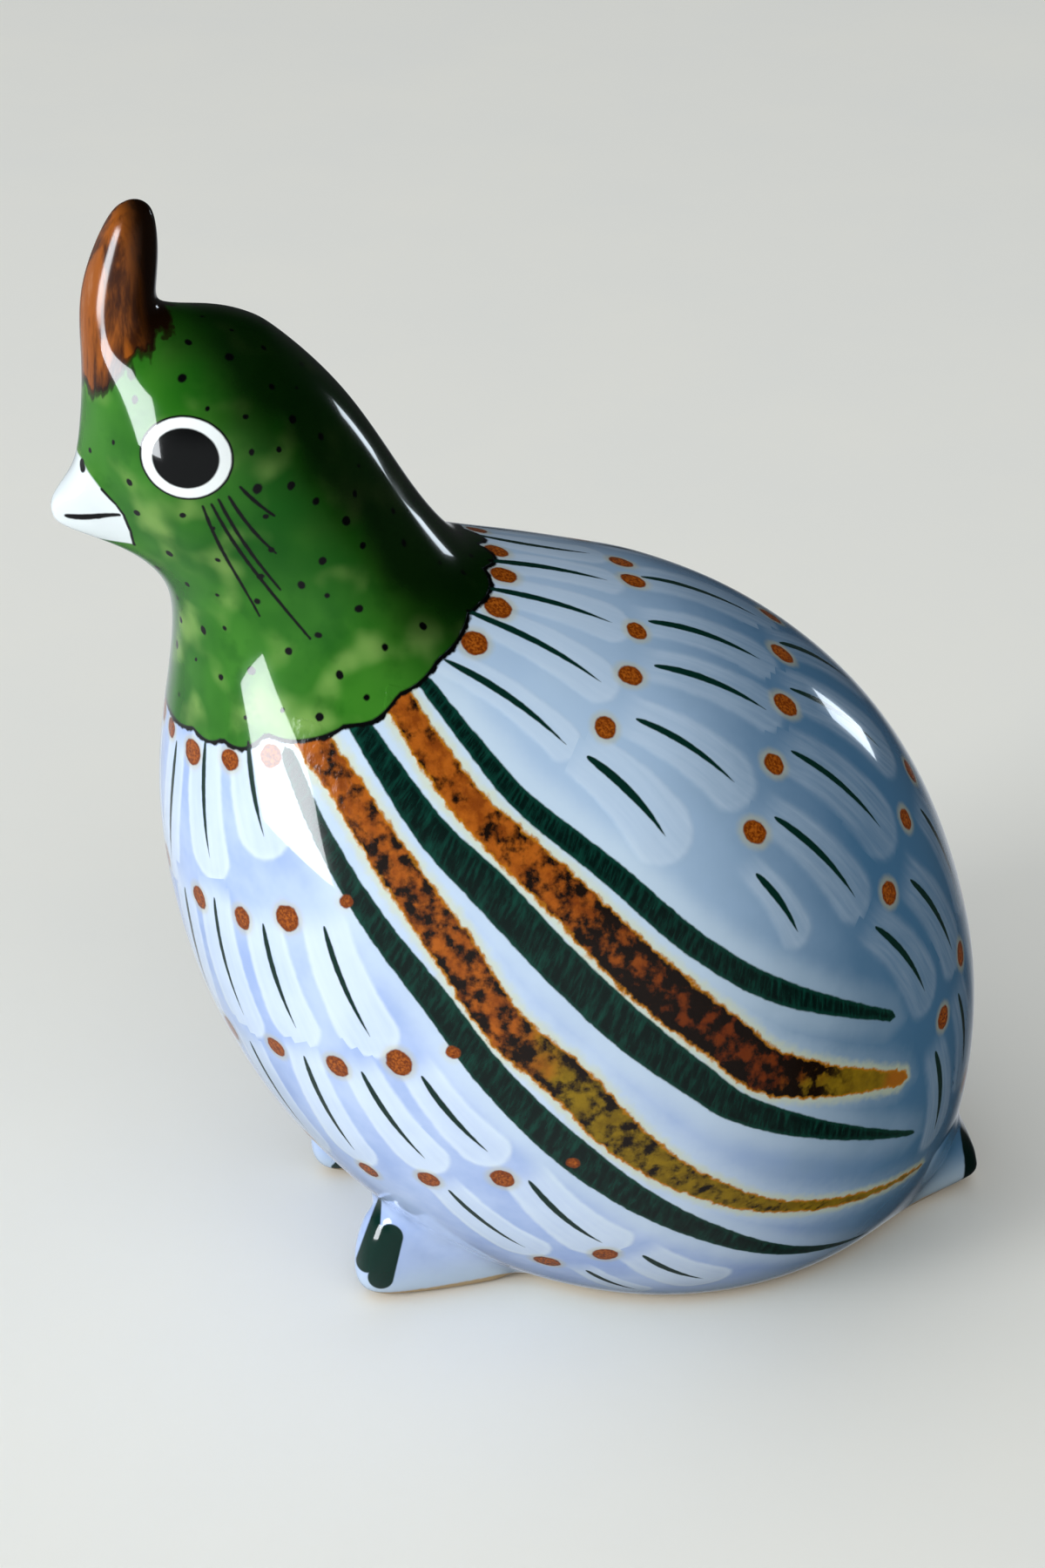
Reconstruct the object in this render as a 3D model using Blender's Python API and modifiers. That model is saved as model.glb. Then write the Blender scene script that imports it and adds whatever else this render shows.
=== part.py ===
"""A glazed ceramic quail: one fired piece, with crest, beak, two foot nubs and a stub tail.

The bird faces -Y, its left side is +X, and it stands on the plane z = 0 with the
origin under the middle of its length.  Its pose and proportions are shares of its own
height, so the figure keeps its form at any size.  The forms that a potter adds by hand
have sizes of their own.
"""
import math

import bmesh
import bpy
import numpy as np
from mathutils import Vector

# Driving dimensions, in metres
HEIGHT = 0.152              # floor to the tip of the crest
CREST_WIDTH = 0.0092        # side to side, at its widest
BEAK_LENGTH = 0.0072        # from the face to the tip
BEAK_WIDTH = 0.0115         # side to side, where it leaves the face
TAIL_WIDTH = 0.027          # side to side, at its root
TAIL_LENGTH = 0.0039        # how far the stub stands out of the rump
FOOT_LENGTH = 0.028         # toe to heel, the heel hidden in the belly
FOOT_WIDTH = 0.0138         # side to side, before its edges are rounded off
FOOT_RISE = 0.0168          # floor to the top of the instep, before rounding
FOOT_SPREAD = 0.029         # between the middle lines of the two feet
TOE_REACH = 0.0395          # toes in front of the middle of the body

# How finely the form is cut
RING_SIDES = 12
SUBDIVISIONS = 2
# A subdivided ring draws in from its corners; this puts the smooth ring on its true radius.
SWELL = 3.0 / (2.0 + math.cos(2.0 * math.pi / RING_SIDES))

# Balls that fill the bird from the crown to the rump, in hundredths of its height:
# behind the middle of the body, above the floor, radius.
BALLS = (
    (-34.3, 83.9, 7.3), (-32.9, 80.7, 10.0), (-30.2, 77.5, 10.8), (-26.1, 70.9, 10.3),
    (-23.8, 63.8, 11.8), (-21.2, 56.2, 15.4), (-17.8, 48.6, 20.6), (-12.7, 42.0, 25.5),
    (-6.5, 36.1, 29.4), (0.0, 30.5, 31.5), (5.8, 22.8, 28.7), (12.0, 16.0, 23.1),
    (19.2, 9.5, 15.6), (23.6, 7.3, 11.7),
)
# Where along the balls the rings of the cage are taken: 0 is the first, 13 the last.
STATIONS = (0.75, 1.0, 1.35, 2.1, 3.3, 5.0, 6.3, 7.3, 8.0, 8.45, 8.75, 9.0, 9.25, 9.7, 10.2,
            10.9, 12.0)
BEAK_RINGS = (1, 2, 3)      # the rings, counted from 0, whose fronts carry the beak

# The crest, tip to root, in hundredths of the height: behind the middle, above the floor,
# half its depth front to back; then its share of the crest's width, and the lean of the
# ring in degrees, front edge down.
CREST_RINGS = (
    (-37.3, 100.3, 1.4, 0.42, 0.0),
    (-38.2, 96.4, 2.6, 0.86, 0.0),
    (-39.1, 92.9, 3.1, 1.00, 8.0),
    (-39.2, 89.4, 3.4, 1.15, 30.0),
)
# The tail, root to end: share of its length out of the rump, height of the middle and
# half the thickness in hundredths of the bird's height, share of the tail's width.
TAIL_RINGS = ((0.35, 2.8, 3.2, 1.0), (1.0, 2.0, 2.2, 0.86))
RUMP = 33.4                 # where the tail leaves the rump, hundredths behind the middle
# The beak, middle and end: shares of its length, of its width and of its root's height.
BEAK_STEPS = ((0.42, 0.80, 0.58), (1.0, 0.26, 0.24))
BEAK_AIM = Vector((0.0, -0.995, -0.08))
# A foot, toe to heel: share of its width at the instep, share of its width at the sole,
# sole above the floor and toe drawn back at the instep, as shares of rise and length.
FOOT_RINGS = (
    (0.80, 0.50, 0.02, 0.14),
    (0.85, 0.53, -0.06, 0.09),
    (0.73, 0.45, -0.11, 0.05),
    (0.45, 0.28, -0.13, 0.0),
)
SPLAY = 0.03                # toes turned out, as a share of the foot's width

GLAZE = {"colour": (0.52, 0.60, 0.78, 1.0), "roughness": 0.12, "metallic": 0.0}


def share(value):
    """A length given in hundredths of the bird's height."""
    return value * HEIGHT / 100.0


def ball_at(station):
    """Ball at a place along the row, and how it changes there (Catmull-Rom curve)."""
    rows = np.array(BALLS)
    last = len(rows) - 1
    index = min(int(station), last - 1)
    t = station - index
    start, end = rows[index], rows[index + 1]
    leave = (end - rows[index - 1]) / 2.0 if index > 0 else end - start
    arrive = (rows[index + 2] - start) / 2.0 if index + 2 <= last else end - start
    ball = ((2 * t**3 - 3 * t**2 + 1) * start + (t**3 - 2 * t**2 + t) * leave
            + (3 * t**2 - 2 * t**3) * end + (t**3 - t**2) * arrive)
    change = ((6 * t**2 - 6 * t) * (start - end) + (3 * t**2 - 4 * t + 1) * leave
              + (3 * t**2 - 2 * t) * arrive)
    return ball, change


def ring(behind, above, half_depth, half_width, axis):
    """Corners of one ring, from the bird's back round its left side, in metres.

    axis is the direction through the ring towards the tail, as (backwards, upwards).
    """
    middle = Vector((0.0, behind, above))
    to_back = Vector((0.0, -axis[1], axis[0])) * half_depth * SWELL
    to_left = Vector((half_width * SWELL, 0.0, 0.0))
    corners = []
    for side in range(RING_SIDES):
        angle = 2.0 * math.pi * side / RING_SIDES
        corners.append(middle + to_back * math.cos(angle) + to_left * math.sin(angle))
    return corners


def body_ring(station):
    """Ring where a skin drawn over the balls touches the ball at this station."""
    ball, change = ball_at(station)
    travel = math.hypot(change[0], change[1])
    axis = change[:2] / travel
    taper = change[2] / travel
    middle = ball[:2] - axis * ball[2] * taper
    radius = share(ball[2] * math.sqrt(1.0 - taper**2))
    return ring(share(middle[0]), share(middle[1]), radius, radius, axis)


def crest_ring(behind, above, half_depth, width_share, lean):
    """One ring of the crest, leaning with its front edge down."""
    tilt = math.radians(lean)
    axis = (math.sin(tilt), -math.cos(tilt))
    half_width = CREST_WIDTH / 2.0 * width_share
    return ring(share(behind), share(above), share(half_depth), half_width, axis)


def tail_ring(length_share, above, half_thickness, width_share):
    """One upright ring of the tail."""
    behind = share(RUMP) + TAIL_LENGTH * length_share
    half_width = TAIL_WIDTH / 2.0 * width_share
    return ring(behind, share(above), share(half_thickness), half_width, (1.0, 0.0))


def beak_root(cage, rows):
    """The four faces in front of the face that the beak grows from."""
    front = RING_SIDES // 2
    faces = []
    for near, far in zip(BEAK_RINGS[:-1], BEAK_RINGS[1:]):
        for side in (front - 1, front):
            faces.append(cage.faces.get((rows[near][side], rows[near][side + 1],
                                         rows[far][side + 1], rows[far][side])))
    return faces


def grow_beak(cage, rows):
    """Pull the beak out of its root in two steps, each smaller than the last."""
    faces = beak_root(cage, rows)
    root = {vert for face in faces for vert in face.verts}
    root_half_width = max(abs(vert.co.x) for vert in root)
    for vert in root:
        vert.co.x *= BEAK_WIDTH / 2.0 / root_half_width
    middle = sum((vert.co for vert in root), Vector()) / len(root)
    root_half_height = max(abs(vert.co.z - middle.z) for vert in root)
    for reach, width, height in BEAK_STEPS:
        grown = bmesh.ops.extrude_face_region(cage, geom=faces)["geom"]
        bmesh.ops.delete(cage, geom=faces, context="FACES")
        faces = [item for item in grown if isinstance(item, bmesh.types.BMFace)]
        tip = [item for item in grown if isinstance(item, bmesh.types.BMVert)]
        centre = sum((vert.co for vert in tip), Vector()) / len(tip)
        half_width = max(abs(vert.co.x) for vert in tip)
        half_height = max(abs(vert.co.z - centre.z) for vert in tip)
        goal = middle + BEAK_AIM * BEAK_LENGTH * reach
        for vert in tip:
            across = vert.co.x / half_width * BEAK_WIDTH / 2.0 * width
            rise = (vert.co.z - centre.z) / half_height * root_half_height * height
            bulge = (vert.co - centre).dot(BEAK_AIM) * height
            vert.co = goal + Vector((across, 0.0, rise)) + BEAK_AIM * bulge


def make_body(parts):
    """Crest, head, neck, body and tail in one cage of rings, with the beak pulled out."""
    rings = [crest_ring(*row) for row in CREST_RINGS]
    rings += [body_ring(station) for station in STATIONS]
    rings += [tail_ring(*row) for row in TAIL_RINGS]
    cage = bmesh.new()
    rows = []
    for corners in rings:
        row = [cage.verts.new(corner) for corner in corners]
        rows.append(row + row[:1])
    for upper, lower in zip(rows[:-1], rows[1:]):
        for side in range(RING_SIDES):
            cage.faces.new((upper[side], upper[side + 1], lower[side + 1], lower[side]))
    cage.faces.new(rows[0][:RING_SIDES])
    cage.faces.new(rows[-1][:RING_SIDES])
    grow_beak(cage, rows[len(CREST_RINGS):])
    bmesh.ops.recalc_face_normals(cage, faces=cage.faces)
    mesh = bpy.data.meshes.new("quail")
    cage.to_mesh(mesh)
    cage.free()
    mesh.shade_smooth()
    quail = bpy.data.objects.new("quail", mesh)
    parts.objects.link(quail)
    return quail


def make_foot(side, tools):
    """A foot nub, a boot-shaped lobe whose heel is lost in the belly; side is 1 or -1."""
    bpy.ops.mesh.primitive_cube_add(size=1.0)
    foot = bpy.context.object
    foot.name = "foot_left" if side > 0 else "foot_right"
    shape = bmesh.new()
    shape.from_mesh(foot.data)
    lengthwise = [edge for edge in shape.edges
                  if abs(edge.verts[0].co.y - edge.verts[1].co.y) > 0.5]
    last = len(FOOT_RINGS) - 1
    bmesh.ops.subdivide_edges(shape, edges=lengthwise, cuts=last - 1, use_grid_fill=True)
    for vert in shape.verts:
        back = vert.co.y + 0.5
        instep, sole, sole_rise, draw = FOOT_RINGS[round(back * last)]
        top = vert.co.z > 0.0
        turn_out = side * SPLAY * (1.0 - back)
        vert.co.x = (vert.co.x * (instep if top else sole) + turn_out) * FOOT_WIDTH
        vert.co.y = (back + (draw if top else 0.0)) * FOOT_LENGTH
        vert.co.z = FOOT_RISE * (1.0 if top else sole_rise)
    shape.to_mesh(foot.data)
    shape.free()
    foot.location = (side * FOOT_SPREAD / 2.0, -TOE_REACH, 0.0)
    subdivide(foot)
    keep_as_tool(foot, tools)
    return foot


def make_floor_cut(tools):
    """The slab below z = 0 that planes the underside flat."""
    bpy.ops.mesh.primitive_cube_add(size=2.0 * HEIGHT, location=(0.0, 0.0, -HEIGHT))
    slab = bpy.context.object
    slab.name = "floor_cut"
    keep_as_tool(slab, tools)
    return slab


def subdivide(item):
    """Round a cage off."""
    smooth = item.modifiers.new("Round", "SUBSURF")
    smooth.levels = SUBDIVISIONS
    smooth.render_levels = SUBDIVISIONS


def keep_as_tool(item, tools):
    """Show a construction object as wire only and file it with the tools."""
    for collection in list(item.users_collection):
        collection.objects.unlink(item)
    tools.objects.link(item)
    item.hide_render = True
    item.display_type = "WIRE"


def combine(quail, other, operation):
    """Join the quail with another closed form, or cut it with one."""
    step = quail.modifiers.new(other.name, "BOOLEAN")
    step.operation = operation
    step.solver = "EXACT"
    step.object = other


def glaze_material():
    """The pale blue glaze that covers most of the bird."""
    material = bpy.data.materials.new("glazed_ceramic")
    material.use_nodes = True
    shader = material.node_tree.nodes["Principled BSDF"]
    shader.inputs["Base Color"].default_value = GLAZE["colour"]
    shader.inputs["Roughness"].default_value = GLAZE["roughness"]
    shader.inputs["Metallic"].default_value = GLAZE["metallic"]
    return material


def centre_lengthwise(quail, tools):
    """Shift the bird and its tools along Y, to bring the origin under its middle."""
    bpy.context.view_layer.update()
    shape = quail.evaluated_get(bpy.context.evaluated_depsgraph_get()).to_mesh()
    reach = [vert.co.y for vert in shape.vertices]
    shift = -(min(reach) + max(reach)) / 2.0
    for item in (quail, *tools):
        item.location.y += shift


def main():
    """Build the quail."""
    for item in list(bpy.data.objects):
        bpy.data.objects.remove(item, do_unlink=True)
    parts = bpy.data.collections.new("ceramic_quail")
    tools = bpy.data.collections.new("construction")
    bpy.context.scene.collection.children.link(parts)
    bpy.context.scene.collection.children.link(tools)

    quail = make_body(parts)
    quail.data.materials.append(glaze_material())
    subdivide(quail)
    feet = [make_foot(side, tools) for side in (1, -1)]
    for foot in feet:
        combine(quail, foot, "UNION")
    slab = make_floor_cut(tools)
    combine(quail, slab, "DIFFERENCE")
    centre_lengthwise(quail, (*feet, slab))


main()
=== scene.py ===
"""Looks of the glazed quail: its painted glaze, the floor, the light and the camera.

Lengths are in metres, apart from brushwork, which is in millimetres.  The bird faces -Y
and its left side, the one the photograph shows, is +X.
"""
import math
import random

import bmesh
import bpy
import numpy as np
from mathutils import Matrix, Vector
from mathutils.bvhtree import BVHTree


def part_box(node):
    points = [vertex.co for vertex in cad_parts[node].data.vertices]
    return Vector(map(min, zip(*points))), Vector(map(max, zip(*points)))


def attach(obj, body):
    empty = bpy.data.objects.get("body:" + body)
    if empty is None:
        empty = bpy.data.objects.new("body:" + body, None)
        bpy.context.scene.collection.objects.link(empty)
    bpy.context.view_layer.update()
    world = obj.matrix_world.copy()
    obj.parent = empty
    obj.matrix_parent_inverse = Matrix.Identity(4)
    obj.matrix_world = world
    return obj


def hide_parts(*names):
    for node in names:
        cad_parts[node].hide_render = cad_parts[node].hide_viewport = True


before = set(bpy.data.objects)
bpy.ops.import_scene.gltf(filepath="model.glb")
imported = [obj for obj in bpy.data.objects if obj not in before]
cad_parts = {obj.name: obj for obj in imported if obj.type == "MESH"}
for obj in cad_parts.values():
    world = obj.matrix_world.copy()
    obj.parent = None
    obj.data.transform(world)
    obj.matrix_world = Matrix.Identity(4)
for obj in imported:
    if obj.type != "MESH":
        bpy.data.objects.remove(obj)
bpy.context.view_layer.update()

MM = 0.001

# The photograph's camera: degrees round from the bird's front, degrees above the floor,
# degrees from the top to the bottom of the picture, and the point it looks at.
VIEW_AZIMUTH = 75.5
VIEW_ELEVATION = 29.0
VIEW_ANGLE = 26.0
VIEW_DISTANCE = 0.4593
VIEW_AIM = Vector((-0.0108, 0.0, 0.0617))
PHOTO_WIDTH = 1200.0
PHOTO_HEIGHT = 1800.0
SENSOR = 36.0

# The form of the bird, as in its solid
HEIGHT = 0.152
CREST_WIDTH = 0.0092
BEAK_LENGTH = 0.0072
BEAK_WIDTH = 0.0115
TAIL_WIDTH = 0.027
TAIL_LENGTH = 0.0039
FOOT_LENGTH = 0.028
FOOT_WIDTH = 0.0138
FOOT_RISE = 0.0168
FOOT_SPREAD = 0.029
TOE_REACH = 0.0395
RING_SIDES = 12
SUBDIVISIONS = 4
SWELL = 3.0 / (2.0 + math.cos(2.0 * math.pi / RING_SIDES))
BALLS = (
    (-34.3, 83.9, 7.3), (-32.9, 80.7, 10.0), (-30.2, 77.5, 10.8), (-26.1, 70.9, 10.3),
    (-23.8, 63.8, 11.8), (-21.2, 56.2, 15.4), (-17.8, 48.6, 20.6), (-12.7, 42.0, 25.5),
    (-6.5, 36.1, 29.4), (0.0, 30.5, 31.5), (5.8, 22.8, 28.7), (12.0, 16.0, 23.1),
    (19.2, 9.5, 15.6), (23.6, 7.3, 11.7),
)
STATIONS = (0.75, 1.0, 1.35, 2.1, 3.3, 5.0, 6.3, 7.3, 8.0, 8.45, 8.75, 9.0, 9.25, 9.7, 10.2,
            10.9, 12.0)
BEAK_RINGS = (1, 2, 3)
CREST_RINGS = (
    (-37.3, 100.3, 1.4, 0.42, 0.0),
    (-38.2, 96.4, 2.6, 0.86, 0.0),
    (-39.1, 92.9, 3.1, 1.00, 8.0),
    (-39.2, 89.4, 3.4, 1.15, 30.0),
)
TAIL_RINGS = ((0.35, 2.8, 3.2, 1.0), (1.0, 2.0, 2.2, 0.86))
RUMP = 33.4
BEAK_STEPS = ((0.42, 0.80, 0.58), (1.0, 0.26, 0.24))
BEAK_AIM = Vector((0.0, -0.995, -0.08))
FOOT_RINGS = (
    (0.80, 0.50, 0.02, 0.14),
    (0.85, 0.53, -0.06, 0.09),
    (0.73, 0.45, -0.11, 0.05),
    (0.45, 0.28, -0.13, 0.0),
)
SPLAY = 0.03
FEATHER_TIP = 0.72          # white beyond a feather's centre line against its half width
FEATHER_SHARE = 0.48        # half width of a feather against the room beside it
FEATHER_LEAST = 2.8         # mm
FEATHER_MOST = 5.0
BREAST_BOW = -0.03          # how far a centre line bows out against its length
BACK_BOW = 0.045
FEATHER_GAP = 0.0045        # nearest that two feathers' middles may be
DOT_GAP = 0.005
SPECK_COUNT = 150
SPECK_GAP = 3.4             # mm
SPECK_SEED = 5
BRUSH_SEED = 11
NECK_MIDDLE = (-0.024, 0.0836)  # a point inside the neck: along Y and above the floor
NECK_LEAN = (0.39, -0.92)   # the way down the neck, backwards and upwards
FILLET = 0.0030             # reach of the glaze that fills the corner where a foot joins
WELD = 0.00028
FOOT_EDGE = 0.0007          # rounding of the edge that the bird stands on

# Paintwork, seen in the photograph: each mark is named by the pixels that it lies on.
NECKLINE = (
    (192, 806), (222, 836), (262, 850), (310, 842), (350, 838), (388, 836), (425, 822),
    (462, 795), (500, 762), (528, 722), (545, 692), (553, 668), (556, 648),
)
# Breast feathers, row by row from the neck down: start and end of each centre line.
BREAST_LINES = (
    ((203, 850), (197, 985)), ((236, 850), (241, 985)), ((285, 850), (303, 960)),
    ((212, 1018), (240, 1150)), ((246, 1030), (280, 1165)), ((302, 1060), (340, 1180)),
    ((372, 1063), (425, 1190)),
    ((287, 1195), (355, 1300)), ((349, 1212), (407, 1320)), ((415, 1230), (488, 1330)),
    ((484, 1235), (560, 1322)),
    ((515, 1366), (603, 1432)), ((607, 1355), (692, 1427)),
    ((673, 1458), (730, 1480)), ((738, 1441), (808, 1468)),
)
BACK_LINES = (
    ((560, 643), (697, 666)), ((560, 675), (703, 715)), ((535, 700), (690, 783)),
    ((510, 757), (650, 855)),
    ((736, 662), (868, 707)), ((744, 713), (873, 757)), ((751, 764), (880, 815)),
    ((730, 825), (843, 898)), ((674, 868), (764, 960)),
    ((895, 738), (975, 780)), ((908, 862), (1011, 950)), ((889, 938), (982, 1030)),
    ((868, 1003), (916, 1070)),
    ((1045, 1010), (1093, 1090)), ((1005, 1064), (1062, 1138)),
    ((1074, 1207), (1073, 1297)),
)
DOTS = (
    (197, 835), (221, 863), (264, 872), (311, 868),
    (229, 1030), (278, 1054), (330, 1054),
    (266, 1180), (317, 1202), (387, 1224), (458, 1220),
    (423, 1343), (492, 1354), (577, 1353),
    (628, 1448), (695, 1440),
    (570, 632), (578, 660), (572, 697), (545, 738),
    (713, 645), (731, 724), (724, 775), (695, 835),
    (885, 707), (898, 750), (902, 809), (889, 877), (867, 955),
    (1045, 885), (1040, 940), (1021, 1025),
    (1103, 1095), (1083, 1168),
)
SMALL_DOTS = ((397, 1035), (520, 1208), (658, 1335))
# Wing stripes from the back down: the pixels along the middle, half the width in mm at
# the start, each quarter and the end, and whether it is brown (1) or green (0).
STRIPES = (
    (((487, 782), (540, 850), (600, 920), (700, 1000), (800, 1085), (900, 1140), (1027, 1167)),
     (0.9, 1.4, 1.65, 1.6, 0.7), 0),
    (((455, 800), (520, 900), (580, 965), (650, 1030), (740, 1120), (830, 1190), (900, 1235),
      (1040, 1237)), (1.7, 2.5, 3.2, 3.0, 0.9), 1),
    (((405, 820), (450, 890), (500, 960), (560, 1020), (640, 1105), (720, 1180), (800, 1240),
      (870, 1280), (1050, 1300)), (1.3, 2.5, 2.6, 1.7, 0.35), 0),
    (((350, 840), (400, 910), (450, 990), (520, 1090), (580, 1180), (650, 1240), (720, 1310),
      (800, 1360), (900, 1385), (1058, 1337)), (2.0, 2.7, 2.9, 1.2, 0.3), 1),
    (((330, 865), (370, 960), (430, 1060), (500, 1150), (560, 1230), (640, 1310), (720, 1370),
      (800, 1410), (900, 1435), (1000, 1415)), (1.0, 1.9, 2.6, 1.6, 0.3), 0),
)
# Marks that the photograph doesn't show, in mm to the bird's left and above the floor:
# dots, then start and end of feather lines.
REAR_DOTS = ((0.0, 70.0), (1.0, 50.5), (12.0, 49.5), (0.0, 27.5), (10.5, 27.0), (20.5, 25.0))
REAR_LINES = (
    ((16.3, 86.2), (15.3, 75.3)), ((5.7, 68.5), (6.0, 55.8)), ((17.5, 66.7), (16.9, 53.6)),
    ((6.0, 48.0), (5.4, 34.5)), ((17.2, 46.0), (15.8, 32.5)), ((26.2, 43.0), (24.0, 29.5)),
)
FRONT_DOTS = ((0.0, 64.0), (0.0, 41.5), (13.5, 26.5), (0.0, 25.0))
FRONT_LINES = (((5.2, 40.0), (5.0, 27.0)),)
EYE_CENTRE = (212, 527)
EYE_RIM_BACK = (267, 530)
EYE_RIM_TOP = (214, 478)
# Thin strokes that fan out below the eye
WHISKERS = (
    ((276, 559), (315, 592)), ((251, 573), (322, 677)), ((233, 581), (298, 707)),
)
WHISKERS_BETWEEN = (((263, 570), (317, 635)), ((243, 579), (356, 733)))
BEAK_BASE = ((92, 523), (102, 542), (117, 562), (133, 579), (142, 591), (150, 610), (154, 625))
MOUTH = ((75, 592), (137, 591))
NOSTRIL = ((94, 532), (95, 537))
CREST_FOOT_FRONT = (112, 444)
CREST_FOOT_BACK = (186, 378)
TOE_POINT = ((436, 1374), (421, 1449))
TOE_ROUND = ((448, 1420), (437, 1467))
TOE_POINT_WIDTH = 1.55      # half width in mm
TOE_ROUND_WIDTH = 1.75
TOE_DEPTH = 10.0            # mm
TOE_HEIGHT = 17.0
STRIPE_STEP = 0.5           # mm
TAIL_END = 58.0             # mm behind the middle, where the tail's dark tip starts


def share(value):
    """A length given in hundredths of the bird's height."""
    return value * HEIGHT / 100.0


def ball_at(station):
    """Ball at a place along the row, and how it changes there (Catmull-Rom curve)."""
    rows = np.array(BALLS)
    last = len(rows) - 1
    index = min(int(station), last - 1)
    t = station - index
    start, end = rows[index], rows[index + 1]
    leave = (end - rows[index - 1]) / 2.0 if index > 0 else end - start
    arrive = (rows[index + 2] - start) / 2.0 if index + 2 <= last else end - start
    ball = ((2 * t**3 - 3 * t**2 + 1) * start + (t**3 - 2 * t**2 + t) * leave
            + (3 * t**2 - 2 * t**3) * end + (t**3 - t**2) * arrive)
    change = ((6 * t**2 - 6 * t) * (start - end) + (3 * t**2 - 4 * t + 1) * leave
              + (3 * t**2 - 2 * t) * arrive)
    return ball, change


def ring(behind, above, half_depth, half_width, axis):
    """Corners of one ring, from the bird's back round its left side."""
    middle = Vector((0.0, behind, above))
    to_back = Vector((0.0, -axis[1], axis[0])) * half_depth * SWELL
    to_left = Vector((half_width * SWELL, 0.0, 0.0))
    corners = []
    for side in range(RING_SIDES):
        angle = 2.0 * math.pi * side / RING_SIDES
        corners.append(middle + to_back * math.cos(angle) + to_left * math.sin(angle))
    return corners


def body_ring(station):
    """Ring where a skin drawn over the balls touches the ball at this station."""
    ball, change = ball_at(station)
    travel = math.hypot(change[0], change[1])
    axis = change[:2] / travel
    taper = change[2] / travel
    middle = ball[:2] - axis * ball[2] * taper
    radius = share(ball[2] * math.sqrt(1.0 - taper**2))
    return ring(share(middle[0]), share(middle[1]), radius, radius, axis)


def crest_ring(behind, above, half_depth, width_share, lean):
    """One ring of the crest, leaning with its front edge down."""
    tilt = math.radians(lean)
    axis = (math.sin(tilt), -math.cos(tilt))
    half_width = CREST_WIDTH / 2.0 * width_share
    return ring(share(behind), share(above), share(half_depth), half_width, axis)


def tail_ring(length_share, above, half_thickness, width_share):
    """One upright ring of the tail."""
    behind = share(RUMP) + TAIL_LENGTH * length_share
    half_width = TAIL_WIDTH / 2.0 * width_share
    return ring(behind, share(above), share(half_thickness), half_width, (1.0, 0.0))


def grow_beak(cage, rows):
    """Pull the beak out of the face in two steps, each smaller than the last."""
    front = RING_SIDES // 2
    faces = []
    for near, far in zip(BEAK_RINGS[:-1], BEAK_RINGS[1:]):
        for side in (front - 1, front):
            faces.append(cage.faces.get((rows[near][side], rows[near][side + 1],
                                         rows[far][side + 1], rows[far][side])))
    root = {vert for face in faces for vert in face.verts}
    root_half_width = max(abs(vert.co.x) for vert in root)
    for vert in root:
        vert.co.x *= BEAK_WIDTH / 2.0 / root_half_width
    middle = sum((vert.co for vert in root), Vector()) / len(root)
    root_half_height = max(abs(vert.co.z - middle.z) for vert in root)
    for reach, width, height in BEAK_STEPS:
        grown = bmesh.ops.extrude_face_region(cage, geom=faces)["geom"]
        bmesh.ops.delete(cage, geom=faces, context="FACES")
        faces = [item for item in grown if isinstance(item, bmesh.types.BMFace)]
        tip = [item for item in grown if isinstance(item, bmesh.types.BMVert)]
        centre = sum((vert.co for vert in tip), Vector()) / len(tip)
        half_width = max(abs(vert.co.x) for vert in tip)
        half_height = max(abs(vert.co.z - centre.z) for vert in tip)
        goal = middle + BEAK_AIM * BEAK_LENGTH * reach
        for vert in tip:
            across = vert.co.x / half_width * BEAK_WIDTH / 2.0 * width
            rise = (vert.co.z - centre.z) / half_height * root_half_height * height
            bulge = (vert.co - centre).dot(BEAK_AIM) * height
            vert.co = goal + Vector((across, 0.0, rise)) + BEAK_AIM * bulge


def new_object(name, shape):
    """Turn a bmesh into an object of the scene."""
    mesh = bpy.data.meshes.new(name)
    shape.to_mesh(mesh)
    shape.free()
    item = bpy.data.objects.new(name, mesh)
    bpy.context.scene.collection.objects.link(item)
    return item


def subdivide(item):
    """Round a cage off."""
    smooth = item.modifiers.new("Round", "SUBSURF")
    smooth.levels = SUBDIVISIONS
    smooth.render_levels = SUBDIVISIONS


def body_cage():
    """Crest, head, neck, body and tail in one cage of rings."""
    rings = [crest_ring(*row) for row in CREST_RINGS]
    rings += [body_ring(station) for station in STATIONS]
    rings += [tail_ring(*row) for row in TAIL_RINGS]
    cage = bmesh.new()
    rows = []
    for corners in rings:
        row = [cage.verts.new(corner) for corner in corners]
        rows.append(row + row[:1])
    for upper, lower in zip(rows[:-1], rows[1:]):
        for side in range(RING_SIDES):
            cage.faces.new((upper[side], upper[side + 1], lower[side + 1], lower[side]))
    cage.faces.new(rows[0][:RING_SIDES])
    cage.faces.new(rows[-1][:RING_SIDES])
    grow_beak(cage, rows[len(CREST_RINGS):])
    bmesh.ops.recalc_face_normals(cage, faces=cage.faces)
    return cage


def foot_cage(side):
    """A boot-shaped lobe whose heel is lost in the belly; side is 1 or -1."""
    cage = bmesh.new()
    bmesh.ops.create_cube(cage, size=1.0)
    lengthwise = [edge for edge in cage.edges
                  if abs(edge.verts[0].co.y - edge.verts[1].co.y) > 0.5]
    last = len(FOOT_RINGS) - 1
    bmesh.ops.subdivide_edges(cage, edges=lengthwise, cuts=last - 1, use_grid_fill=True)
    for vert in cage.verts:
        back = vert.co.y + 0.5
        instep, sole, sole_rise, draw = FOOT_RINGS[round(back * last)]
        top = vert.co.z > 0.0
        turn_out = side * SPLAY * (1.0 - back)
        across = (vert.co.x * (instep if top else sole) + turn_out) * FOOT_WIDTH
        vert.co.x = across + side * FOOT_SPREAD / 2.0
        vert.co.y = (back + (draw if top else 0.0)) * FOOT_LENGTH - TOE_REACH
        vert.co.z = FOOT_RISE * (1.0 if top else sole_rise)
    return cage


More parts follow.
